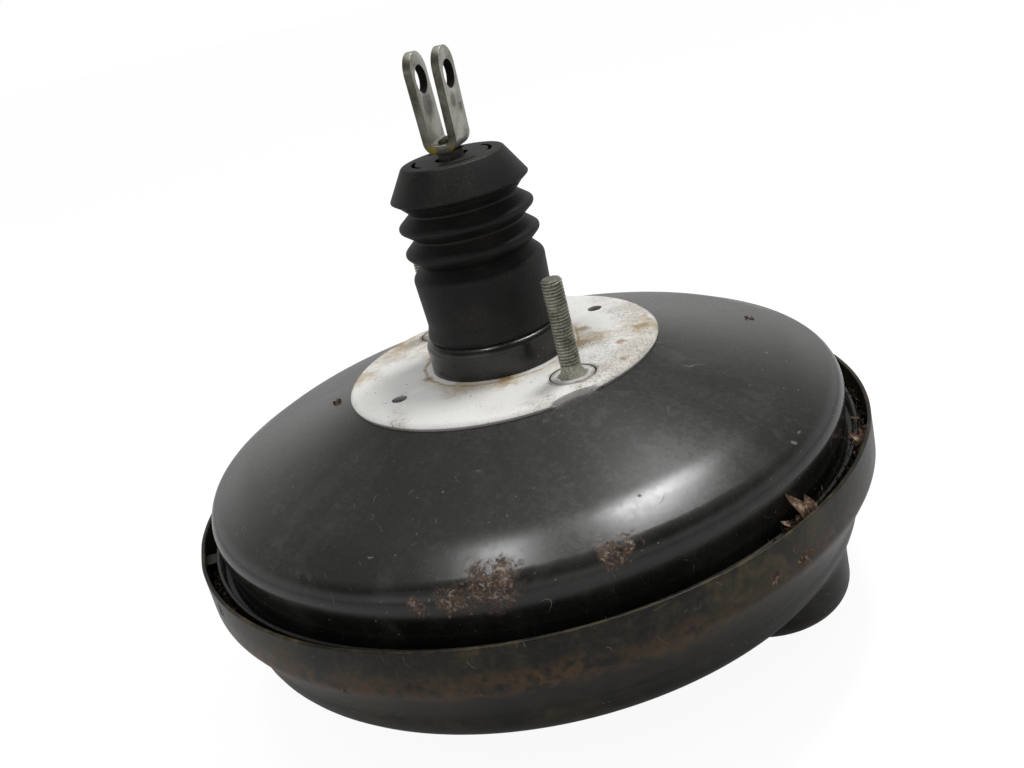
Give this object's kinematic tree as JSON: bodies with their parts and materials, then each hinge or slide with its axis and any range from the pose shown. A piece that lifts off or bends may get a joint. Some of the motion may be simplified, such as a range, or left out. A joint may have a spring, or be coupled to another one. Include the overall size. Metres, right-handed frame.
{
  "type": "brake booster",
  "caption": "Vacuum brake booster: round pressed housing with mounting plate and studs, dust boot, input rod with clevis; piston, rod and check valve move.",
  "frame": {"origin": "centre of the stud circle on the face that bolts to the firewall", "axes": "+Z along the input rod towards the pedal, +X along the clevis pin"},
  "size_m": [0.282, 0.282, 0.2456],
  "materials": {
    "black_paint": "satin black paint over pressed steel, dusty, with rust",
    "zinc_plate": "white zinc plating, dull, with rust stains",
    "stud_zinc": "dull grey zinc on rolled thread",
    "clevis_zinc": "zinc plating, worn and yellowed",
    "bare_steel": "plain steel",
    "spring_steel": "spring wire",
    "boot_rubber": "matte moulded rubber",
    "rubber": "moulded rubber",
    "hub_plastic": "moulded phenolic resin",
    "plastic": "moulded nylon",
    "felt": "felt and open foam"
  },
  "bodies": {
    "housing": {"rear_shell": "black_paint", "front_shell": "black_paint", "mounting_plate": "zinc_plate", "firewall_studs": "stud_zinc", "front_plate": "bare_steel", "master_cylinder_studs": "stud_zinc", "neck_bearing": "plastic", "neck_seal": "rubber", "seal_retainer": "bare_steel", "diaphragm": "rubber", "return_spring": "spring_steel", "dust_boot": "boot_rubber", "vacuum_grommet": "rubber", "check_valve_body": "plastic", "check_valve_cap": "plastic", "check_valve_spring": "spring_steel"},
    "power_piston": {"valve_body": "hub_plastic", "diaphragm_plate": "bare_steel", "stop_key": "bare_steel", "reaction_disc": "rubber", "output_rod": "bare_steel", "output_rod_screw": "bare_steel", "output_rod_cap": "spring_steel", "poppet_valve": "rubber", "poppet_cup": "bare_steel", "poppet_spring": "spring_steel", "input_spring": "spring_steel", "filter_ring": "plastic", "air_filter": "felt", "silencer": "felt"},
    "valve_plunger": {"control_plunger": "bare_steel"},
    "input_linkage": {"input_rod": "bare_steel", "clevis": "clevis_zinc"},
    "check_disc": {"check_valve_disc": "rubber"}
  },
  "joints": [
    {"name": "servo_stroke", "type": "slide", "parent": "housing", "child": "power_piston", "axis": [0, 0, -1], "range_m": [0, 0.024], "stiffness_N_per_m": 4000, "springref_m": -0.02, "deforming": ["dust_boot", "return_spring", "diaphragm"]},
    {"name": "valve_travel", "type": "slide", "parent": "power_piston", "child": "valve_plunger", "axis": [0, 0, -1], "range_m": [0, 0.002], "stiffness_N_per_m": 3000, "springref_m": -0.008, "deforming": ["input_spring", "poppet_valve", "poppet_spring"]},
    {"name": "rod_tilt", "type": "hinge", "parent": "valve_plunger", "child": "input_linkage", "pos_m": [0, 0, 0.0065], "axis": [1, 0, 0], "range_deg": [-2.5, 2.5], "stiffness_Nm_per_rad": 1},
    {"name": "check_valve_lift", "type": "slide", "parent": "housing", "child": "check_disc", "axis": [0, 0, -1], "range_m": [0, 0.0015], "stiffness_N_per_m": 100, "springref_m": -0.005, "deforming": ["check_valve_spring"]}
  ]
}
